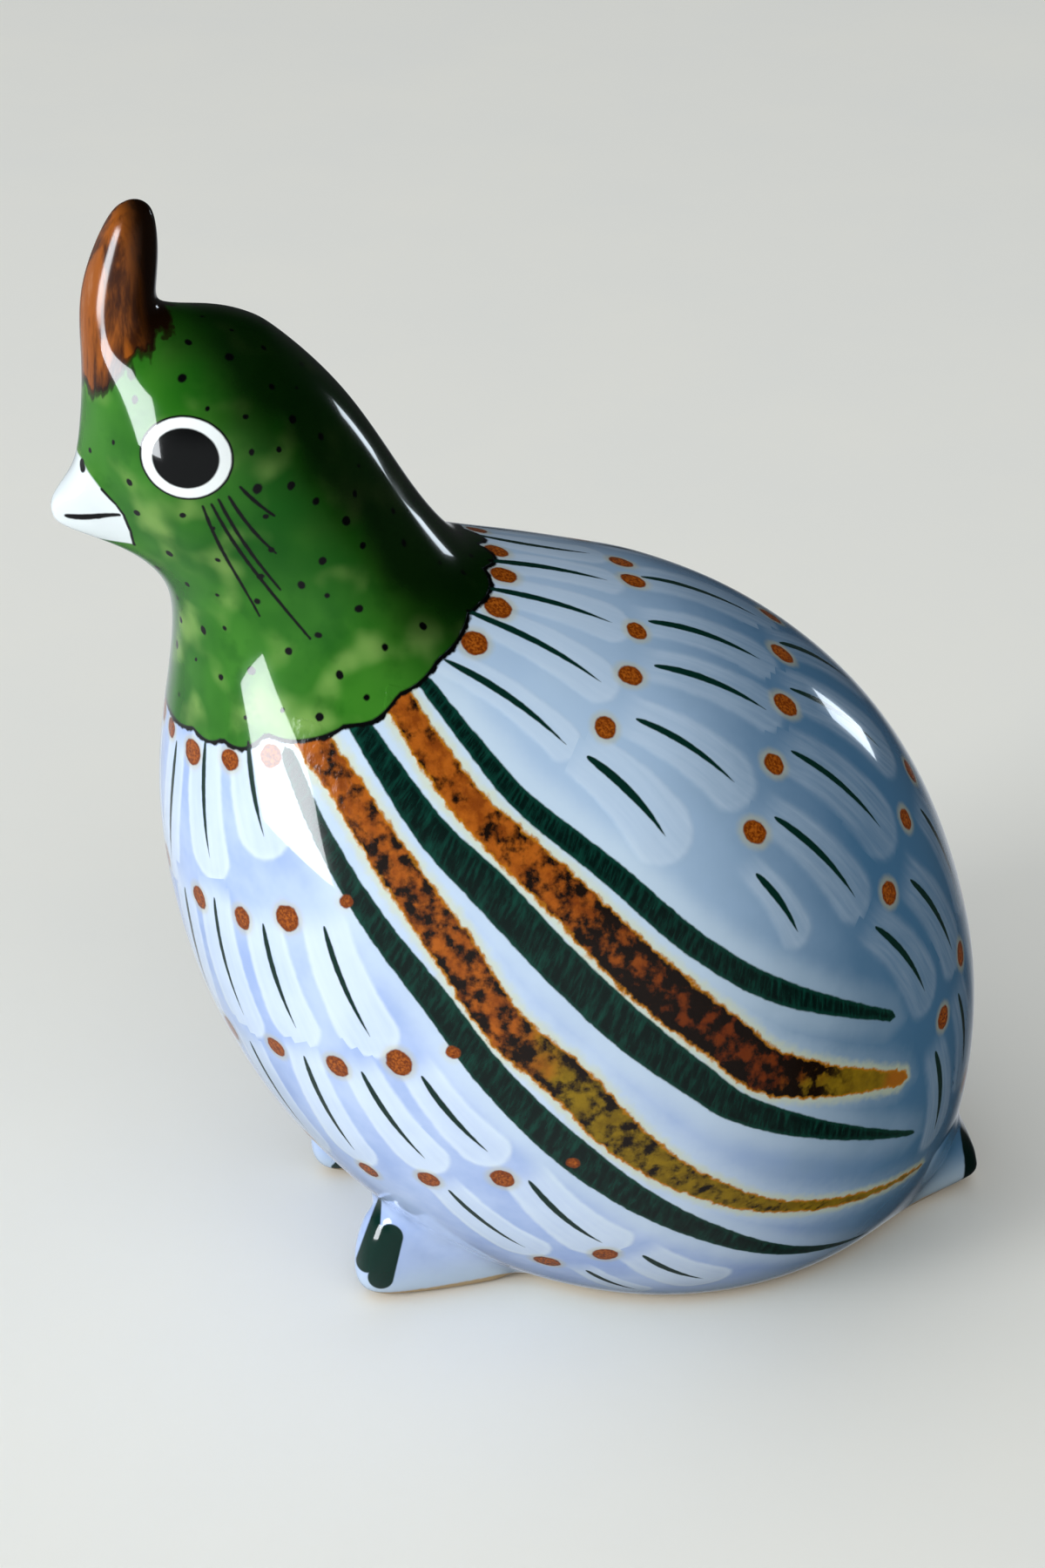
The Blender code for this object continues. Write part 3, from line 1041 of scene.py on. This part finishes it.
def glaze_material():
    """The painted glaze."""
    material = bpy.data.materials.new("painted_glaze")
    material.use_nodes = True
    glaze = Glaze(material)
    small = glaze.wave(1.1, 0.16)
    broad = glaze.wave(4.0, 0.5)
    fine = glaze.noise(0.35, 3.0)

    # Periwinkle ground and white feathers
    x, y, z = glaze.node("ShaderNodeSeparateXYZ", (glaze.place,)).outputs
    tone = glaze.noise(14.0, 4.0, 0.6)
    rearward = glaze.add(y, glaze.times(z, 0.15))
    rearward = glaze.add(rearward, glaze.times(glaze.take(tone, 0.5), 14.0))
    # Toward the back the ground turns a darker blue-grey and the white feathers soften and thin
    # out: partly a deeper glaze, partly painted shade
    rear = glaze.ease(rearward, 8.0, 48.0)
    upper = glaze.ease(glaze.add(y, z), 30.0, 90.0)
    colour = glaze.blend(glaze.ease(tone, 0.3, 0.7), GROUND_DEEP, GROUND_PALE)
    # Greyer ground on the upper back, made lighter as painted light where the head shades it
    colour = glaze.blend(glaze.times(upper, 0.8), colour, GROUND_UPPER_PAINTED_LIGHT)
    colour = glaze.blend(rear, colour, GROUND_REAR_DEEP_AND_SHADE)
    outside, u, v, seed = feather_mark(glaze)
    outside = glaze.add(outside, glaze.add(small, glaze.times(broad, 0.5)))
    streak_place = glaze.join(glaze.times(u, 0.12), glaze.times(v, 1.3), seed)
    streak = glaze.noise(1.0, 3.0, vector=streak_place)
    soft = glaze.add(0.4, glaze.times(rear, 0.6))
    inside = glaze.math("DIVIDE", outside, soft)
    cover = glaze.times(glaze.ease(inside, 0.8, -1.2), glaze.ease(u, -3.2, 1.5))
    rim = glaze.times(glaze.ease(outside, 0.2, -0.3), glaze.ease(outside, -1.4, -0.3))
    rim = glaze.times(rim, glaze.take(0.14, glaze.times(upper, 0.09)))
    white_amount = glaze.add(glaze.times(streak, 0.28), glaze.add(0.42, rim))
    white_amount = glaze.take(white_amount, glaze.times(upper, 0.27))
    white_amount = glaze.take(white_amount, glaze.times(rear, 0.14))
    white_amount.node.use_clamp = True
    colour = glaze.blend(glaze.times(cover, white_amount), colour, FEATHER_WHITE)

    # Faint halo of the brown dots
    dot = round_mark(glaze, "dot", glaze.times(small, 1.5))
    colour = glaze.blend(glaze.times(glaze.ease(dot, 1.2, 0.0), 0.5), colour, HALO_TAN)

    # Wing stripes, on a paler band
    green_edge, green_part, green_side, _ = stripe_mark(glaze, "green_stripe")
    brown_edge, part, _, order = stripe_mark(glaze, "brown_stripe")
    late = glaze.ease(order, 1.0, 3.0)
    early = glaze.take(1.0, late)
    ragged = glaze.take(glaze.noise(1.4, 3.0, 0.55), 0.5)
    green_edge = glaze.add(green_edge, glaze.times(ragged, 0.4))
    brown_edge = glaze.add(brown_edge, glaze.times(ragged, 1.5))
    band = glaze.ease(glaze.add(glaze.least(green_edge, brown_edge), broad), 4.4, 0.6)
    # The pale band also fades toward the back, under the same painted shade
    band = glaze.times(band, glaze.take(0.52, glaze.times(rear, 0.40)))
    colour = glaze.blend(band, colour, BAND_WHITE)
    colour = glaze.blend(glaze.times(glaze.ease(brown_edge, 1.6, 0.1), 0.6), colour,
                         HALO_YELLOW)
    brush_place = glaze.join(glaze.add(glaze.times(green_part, 100.0),
                                       glaze.times(green_side, 0.4)),
                             glaze.times(green_side, 0.22), 0.0)
    brush = glaze.noise(0.8, 4.0, 0.6, vector=brush_place)
    green = glaze.blend(glaze.ease(brush, 0.40, 0.80), STRIPE_BLACK, STRIPE_GREEN)
    green = glaze.blend(glaze.times(glaze.ease(green_edge, -0.8, 0.0), 0.6), green,
                        STRIPE_GREEN)
    green_cover = glaze.ease(green_edge, 0.15, -0.15)
    colour = glaze.blend(green_cover, colour, green)

    olive_start = glaze.take(0.76, glaze.times(late, 0.38))
    olive_start = glaze.add(olive_start, glaze.times(glaze.take(tone, 0.5), 0.3))
    aged = glaze.ease(glaze.take(part, olive_start), -0.03, 0.06)
    scorched = glaze.times(glaze.ease(part, 0.28, 0.60), early)
    warm = glaze.blend(scorched, RUST, RUST_RED)
    mottle = glaze.ease(glaze.noise(2.2, 4.0, 0.6), 0.36, 0.70)
    warm = glaze.blend(glaze.times(mottle, 0.8), warm, RUST_DARK)
    warm = glaze.blend(aged, warm, glaze.blend(glaze.times(mottle, 0.6), OLIVE, OLIVE_DARK))
    early_dark = glaze.times(glaze.ease(part, 0.14, 0.50), glaze.ease(part, 0.88, 0.78))
    late_dark = glaze.times(glaze.ease(part, 0.06, 0.20), glaze.ease(part, 0.72, 0.36))
    dark = glaze.add(glaze.times(early_dark, early),
                     glaze.times(glaze.times(late_dark, late), 0.6))
    toward_edge = glaze.add(glaze.times(glaze.ease(brown_edge, -2.0, -0.7), 0.12), 0.10)
    blot = glaze.add(glaze.noise(2.1, 4.0, 0.55), glaze.times(toward_edge, dark))
    burnt = glaze.times(glaze.ease(blot, 0.46, 0.68), glaze.ease(part, 0.92, 0.82))
    brown_colour = glaze.blend(burnt, warm, BURNT_AND_SHADE)
    rust_tip = glaze.times(glaze.times(glaze.ease(part, 0.94, 0.97), early), 0.7)
    brown_colour = glaze.blend(rust_tip, brown_colour, RUST)
    brown_colour = glaze.blend(glaze.ease(brown_edge, -0.42, 0.0), brown_colour, AMBER)
    brown_cover = glaze.ease(brown_edge, 0.30, -0.12)
    colour = glaze.blend(brown_cover, colour, brown_colour)

    # Brown dots
    rust = glaze.blend(glaze.ease(fine, 0.35, 0.7), RUST_DARK, RUST)
    rust = glaze.blend(glaze.times(glaze.ease(dot, -0.7, 0.0), 0.7), rust, RUST_DARK)
    dot_cover = glaze.ease(dot, 0.15, -0.15)
    colour = glaze.blend(dot_cover, colour, rust)

    # Whiter near the floor, and the dark tip of the tail
    low = glaze.ease(glaze.add(z, broad), 9.0, 1.5)
    bare = glaze.take(1.0, glaze.most(green_cover, brown_cover))
    colour = glaze.blend(glaze.times(glaze.times(low, bare), 0.75), colour, LOW_WHITE)
    tip = glaze.times(glaze.ease(glaze.add(y, small), TAIL_END, TAIL_END + 0.4),
                      glaze.times(glaze.ease(z, 1.6, 2.2), glaze.ease(z, 9.8, 9.0)))
    colour = glaze.blend(tip, colour, STRIPE_BLACK)

    # Green head and neck, its black edge and specks
    neck = glaze.number("neck")
    neck = glaze.add(neck, glaze.times(small, 1.2))
    pool = glaze.noise(15.0, 3.0, 0.5)
    head_green = glaze.blend(glaze.ease(pool, 0.3, 0.7), GREEN_RICH, GREEN)
    pale = glaze.times(glaze.ease(glaze.noise(6.0, 1.5, 0.4), 0.50, 0.80), 0.6)
    head_green = glaze.blend(pale, head_green, GREEN_PALE)
    deep = glaze.times(glaze.ease(glaze.noise(5.0, 3.0, 0.55), 0.52, 0.72), 0.45)
    head_green = glaze.blend(deep, head_green, GREEN_RICH)
    # Painted shade and painted dark reflection: the green deepens to near black toward the nape
    # and the crown
    painted_shade = glaze.add(glaze.add(y, 46.0), glaze.times(glaze.take(z, 118.0), 0.75))
    painted_shade = glaze.add(painted_shade, glaze.times(glaze.take(pool, 0.5), 16.0))
    head_green = glaze.blend(glaze.times(glaze.ease(painted_shade, 5.0, 20.0), 0.96), head_green,
                             GREEN_PAINTED_SHADE)
    head_cover = glaze.ease(neck, -0.1, 0.25)
    colour = glaze.blend(head_cover, colour, head_green)
    speck = round_mark(glaze, "speck", small)
    colour = glaze.blend(glaze.times(glaze.ease(speck, 0.15, -0.12), head_cover), colour, INK)
    edge = glaze.take(glaze.math("ABSOLUTE", neck), glaze.add(0.24, small))
    colour = glaze.blend(glaze.ease(edge, 0.15, -0.12), colour, INK)

    # Brown crest
    tall = glaze.node("ShaderNodeVectorMath", (glaze.place, (1.0, 1.0, 0.16)),
                      operation="MULTIPLY").outputs[0]
    drip = glaze.noise(2.0, 2.0, vector=tall)
    crest = glaze.add(glaze.number("crest"), glaze.times(glaze.take(drip, 0.5), 5.0))
    streaky = glaze.noise(2.4, 4.0, 0.6, vector=tall, stretch=0.3)
    crest_brown = glaze.blend(glaze.ease(streaky, 0.36, 0.60), CREST_DARK, CREST_ORANGE)
    crest_brown = glaze.blend(glaze.ease(streaky, 0.60, 0.80), crest_brown, CREST_PALE)
    # Painted shade: the crest's back side turns nearly black
    crest_brown = glaze.blend(glaze.ease(glaze.add(y, glaze.times(streaky, 3.0)), -51.0, -47.5),
                              crest_brown, BURNT_AND_SHADE)
    colour = glaze.blend(glaze.ease(crest, -0.2, 0.3), colour, crest_brown)
    crest_edge = glaze.take(glaze.math("ABSOLUTE", crest), 0.35)
    colour = glaze.blend(glaze.times(glaze.ease(crest_edge, 0.3, -0.1), 0.8), colour, BURNT_AND_SHADE)

    # White beak
    beak = glaze.ease(glaze.number("beak"), -0.1, 0.2)
    colour = glaze.blend(beak, colour, BEAK_WHITE)

    # Eye
    eye_x, eye_y, depth = glaze.read("eye")
    radius = glaze.add(glaze.span(eye_x, eye_y), glaze.times(small, 0.05))
    near = glaze.math("LESS_THAN", glaze.math("ABSOLUTE", depth), 6.0)
    ring_cover = glaze.times(glaze.ease(radius, 1.05, 1.01), near)
    colour = glaze.blend(ring_cover, colour, INK)
    colour = glaze.blend(glaze.times(glaze.ease(radius, 1.0, 0.95), near), colour, EYE_WHITE)
    colour = glaze.blend(glaze.times(glaze.ease(radius, 0.76, 0.71), near), colour, INK)

    # Dark green brush lines
    line = glaze.least(long_mark(glaze, "stroke", glaze.times(small, 0.5)),
                       long_mark(glaze, "stroke_between", glaze.times(small, 0.5)))
    line = glaze.least(line, glaze.least(toe_mark(glaze, "toe_point", TOE_POINT_WIDTH, True),
                                         toe_mark(glaze, "toe_round", TOE_ROUND_WIDTH, False)))
    line_cover = glaze.ease(line, 0.12, -0.12)
    head_line = glaze.blend(head_cover, LINE_GREEN, INK)
    colour = glaze.blend(line_cover, colour, head_line)

    # Bare clay where the glaze ends
    clay = glaze.ease(glaze.add(z, glaze.times(small, 1.5)), 1.8, 1.3)
    colour = glaze.blend(clay, colour, CLAY)
    glaze.feed(glaze.shader.inputs["Base Color"], colour)

    # Surface: slightly wavy glaze, rougher where iron has crystallised
    rough = glaze.add(0.12, glaze.times(glaze.noise(3.0), 0.06))
    rough = glaze.add(rough, glaze.times(clay, 0.5))
    glaze.feed(glaze.shader.inputs["Roughness"], rough)
    relief = glaze.times(glaze.noise(7.0, 1.0), 0.05)
    relief = glaze.add(relief, glaze.times(cover, 0.03))
    iron = glaze.times(brown_cover, glaze.noise(1.2, 3.0))
    relief = glaze.add(relief, glaze.times(iron, 0.12))
    bump = glaze.node("ShaderNodeBump")
    bump.inputs["Strength"].default_value = 1.0
    bump.inputs["Distance"].default_value = MM
    glaze.feed(bump.inputs["Height"], relief)
    glaze.feed(glaze.shader.inputs["Normal"], bump.outputs[0])
    glaze.shader.inputs["Specular IOR Level"].default_value = 0.08
    glaze.shader.inputs["Coat Weight"].default_value = 0.7
    gloss = glaze.add(0.03, glaze.times(glaze.ease(crest, 3.0, 7.0), 0.13))
    glaze.feed(glaze.shader.inputs["Coat Roughness"], gloss)
    glaze.shader.inputs["Coat IOR"].default_value = COAT_IOR
    return material


def make_floor():
    """Plain pale floor."""
    shape = bmesh.new()
    bmesh.ops.create_circle(shape, cap_ends=True, radius=FLOOR_RADIUS, segments=96)
    floor = new_object("floor", shape)
    material = bpy.data.materials.new("floor")
    material.use_nodes = True
    glaze = Glaze(material)
    tone = glaze.noise(60.0, 5.0, 0.6)
    glaze.feed(glaze.shader.inputs["Base Color"], glaze.blend(tone, FLOOR_GREY, FLOOR_WARM))
    glaze.shader.inputs["Roughness"].default_value = 0.7
    glaze.shader.inputs["Specular IOR Level"].default_value = 0.15
    floor.data.materials.append(material)
    floor.visible_glossy = False


def make_light(name, turn, rise, distance, width, height, power, colour, shines, glints):
    """Soft rectangular lamp that faces the bird; it may only shine or only glint."""
    data = bpy.data.lights.new(name, "AREA")
    data.shape = "RECTANGLE"
    data.size = width
    data.size_y = height
    data.energy = power
    data.color = colour
    lamp = bpy.data.objects.new(name, data)
    around, above = math.radians(turn), math.radians(rise)
    outward = Vector((math.sin(around) * math.cos(above), -math.cos(around) * math.cos(above),
                      math.sin(above)))
    lamp.location = LAMP_AIM + outward * distance
    lamp.rotation_euler = (-outward).to_track_quat("-Z", "Y").to_euler()
    lamp.visible_diffuse = shines
    lamp.visible_glossy = glints
    bpy.context.scene.collection.objects.link(lamp)


def make_world():
    """Pale surroundings to look at, dim ones to light the glaze."""
    world = bpy.data.worlds.new("studio")
    bpy.context.scene.world = world
    world.use_nodes = True
    tree = world.node_tree
    dim = tree.nodes["Background"]
    dim.inputs["Color"].default_value = WORLD_LIGHT
    direction = tree.nodes.new("ShaderNodeTexCoord")
    facing = tree.nodes.new("ShaderNodeVectorMath")
    facing.operation = "DOT_PRODUCT"
    facing.inputs[1].default_value = WORLD_BRIGHT_SIDE
    tree.links.new(direction.outputs["Generated"], facing.inputs[0])
    strength = tree.nodes.new("ShaderNodeMapRange")
    strength.inputs["From Min"].default_value = 0.0
    strength.inputs["To Min"].default_value = WORLD_DIM
    strength.inputs["To Max"].default_value = WORLD_BRIGHT
    tree.links.new(facing.outputs["Value"], strength.inputs["Value"])
    tree.links.new(strength.outputs[0], dim.inputs["Strength"])
    apart = tree.nodes.new("ShaderNodeSeparateXYZ")
    tree.links.new(direction.outputs["Generated"], apart.inputs[0])
    fade = tree.nodes.new("ShaderNodeMapRange")
    fade.interpolation_type = "SMOOTHSTEP"
    fade.inputs["From Min"].default_value = 0.0
    fade.inputs["From Max"].default_value = 0.6
    fade.inputs["To Min"].default_value = WORLD_HORIZON
    fade.inputs["To Max"].default_value = WORLD_VEIL
    tree.links.new(apart.outputs[2], fade.inputs["Value"])
    ahead = tree.nodes.new("ShaderNodeVectorMath")
    ahead.operation = "DOT_PRODUCT"
    ahead.inputs[1].default_value = WORLD_FRONT
    tree.links.new(direction.outputs["Generated"], ahead.inputs[0])
    front = tree.nodes.new("ShaderNodeMapRange")
    front.inputs["From Min"].default_value = -0.4
    front.inputs["From Max"].default_value = 0.5
    front.inputs["To Min"].default_value = 0.05
    tree.links.new(ahead.outputs["Value"], front.inputs["Value"])
    both = tree.nodes.new("ShaderNodeMath")
    both.operation = "MULTIPLY"
    tree.links.new(fade.outputs[0], both.inputs[0])
    tree.links.new(front.outputs[0], both.inputs[1])
    wall = tree.nodes.new("ShaderNodeMapRange")
    wall.interpolation_type = "SMOOTHSTEP"
    wall.inputs["From Min"].default_value = -0.55
    wall.inputs["From Max"].default_value = -0.85
    tree.links.new(apart.outputs[0], wall.inputs["Value"])
    below = tree.nodes.new("ShaderNodeMapRange")
    below.interpolation_type = "SMOOTHSTEP"
    below.inputs["From Min"].default_value = -0.24
    below.inputs["From Max"].default_value = -0.44
    below.inputs["To Max"].default_value = WORLD_WALL
    tree.links.new(apart.outputs[2], below.inputs["Value"])
    tree.links.new(below.outputs[0], wall.inputs["To Max"])
    brighter = tree.nodes.new("ShaderNodeMath")
    brighter.operation = "MAXIMUM"
    tree.links.new(both.outputs[0], brighter.inputs[0])
    tree.links.new(wall.outputs[0], brighter.inputs[1])
    veil = tree.nodes.new("ShaderNodeBackground")
    veil.inputs["Color"].default_value = WORLD_LIGHT
    tree.links.new(brighter.outputs[0], veil.inputs["Strength"])
    pale = tree.nodes.new("ShaderNodeBackground")
    pale.inputs["Color"].default_value = FLOOR_GREY
    path = tree.nodes.new("ShaderNodeLightPath")
    mirror = tree.nodes.new("ShaderNodeMixShader")
    tree.links.new(path.outputs["Is Glossy Ray"], mirror.inputs[0])
    tree.links.new(dim.outputs[0], mirror.inputs[1])
    tree.links.new(veil.outputs[0], mirror.inputs[2])
    choose = tree.nodes.new("ShaderNodeMixShader")
    tree.links.new(path.outputs["Is Camera Ray"], choose.inputs[0])
    tree.links.new(mirror.outputs[0], choose.inputs[1])
    tree.links.new(pale.outputs[0], choose.inputs[2])
    tree.links.new(choose.outputs[0], tree.nodes["World Output"].inputs["Surface"])


# Colours of the glaze
GROUND_DEEP = srgb(152, 174, 220)
GROUND_PALE = srgb(182, 200, 234)
# Greyer ground of the upper back, lightened as painted light
GROUND_UPPER_PAINTED_LIGHT = srgb(170, 196, 218)
# Darker blue-grey of the back: a deeper glaze with painted shade in it
GROUND_REAR_DEEP_AND_SHADE = srgb(68, 110, 144)
FEATHER_WHITE = srgb(218, 231, 243)
BAND_WHITE = srgb(206, 222, 232)
LOW_WHITE = srgb(198, 214, 226)
HALO_YELLOW = srgb(204, 206, 160)
HALO_TAN = srgb(186, 180, 140)
RUST = srgb(168, 88, 20)
RUST_RED = srgb(106, 42, 5)
RUST_DARK = srgb(108, 46, 6)
AMBER = srgb(176, 112, 18)
# Near-black brown: burnt iron in the stripes and the crest's edge, and painted shade on the
# crest's back side
BURNT_AND_SHADE = srgb(20, 8, 2)
OLIVE = srgb(136, 108, 14)
OLIVE_DARK = srgb(88, 66, 6)
STRIPE_GREEN = srgb(9, 64, 52)
STRIPE_BLACK = srgb(1, 20, 16)
LINE_GREEN = srgb(4, 40, 32)
INK = srgb(3, 4, 4)
# Near-black green of the painted shade and reflection on the nape and crown
GREEN_PAINTED_SHADE = srgb(2, 18, 2)
GREEN_RICH = srgb(16, 84, 8)
GREEN = srgb(56, 120, 32)
GREEN_PALE = srgb(140, 176, 92)
CREST_DARK = srgb(58, 26, 6)
CREST_ORANGE = srgb(146, 78, 20)
CREST_PALE = srgb(168, 116, 80)
BEAK_WHITE = srgb(220, 228, 231)
EYE_WHITE = srgb(238, 244, 244)
CLAY = srgb(186, 160, 122)
FLOOR_GREY = srgb(234, 233, 227)
FLOOR_WARM = srgb(241, 238, 228)
FLOOR_RADIUS = 2.5
FAR = 0.5                   # beyond the bird
COAT_IOR = 1.38
LAMP_AIM = Vector((0.0, 0.0, 0.06))

WORLD_LIGHT = (0.68, 0.71, 0.74, 1.0)
WORLD_BRIGHT_SIDE = (0.15, -0.45, 0.88)
WORLD_FRONT = (0.45, -0.89, 0.0)
WORLD_DIM = 0.10
WORLD_BRIGHT = 1.45
WORLD_VEIL = 0.08
WORLD_WALL = 0.9
WORLD_HORIZON = 0.78

# Lamps: name, degrees round from the bird's front and above the floor, distance, width,
# height, power in watts, colour, whether it lights the colours and whether it glints
LAMPS = (
    ("window", 20.0, 18.0, 1.6, 0.50, 0.90, 16.5, (0.95, 0.98, 1.0), True, False),
    ("window_glint", 21.0, 13.0, 1.6, 0.66, 1.10, 62.0, (0.92, 0.96, 1.0), False, True),
    ("side", 100.0, 40.0, 1.8, 1.2, 0.9, 3.5, (1.0, 0.98, 0.94), True, False),
    ("far_glint", -147.0, 6.0, 1.8, 0.20, 0.30, 1.7, (0.80, 0.90, 1.0), False, True),
)


def main():
    """Dress the quail and set the stage."""
    make_camera()
    quail, shift = make_quail()
    quail.data.materials.clear()
    quail.data.materials.append(glaze_material())
    lay_paint(Skin(quail.data), Surface(quail.data, shift))
    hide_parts("quail")
    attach(quail, "root")
    make_floor()
    make_world()
    bpy.context.scene.view_settings.view_transform = "Standard"
    for lamp in LAMPS:
        make_light(*lamp)


main()
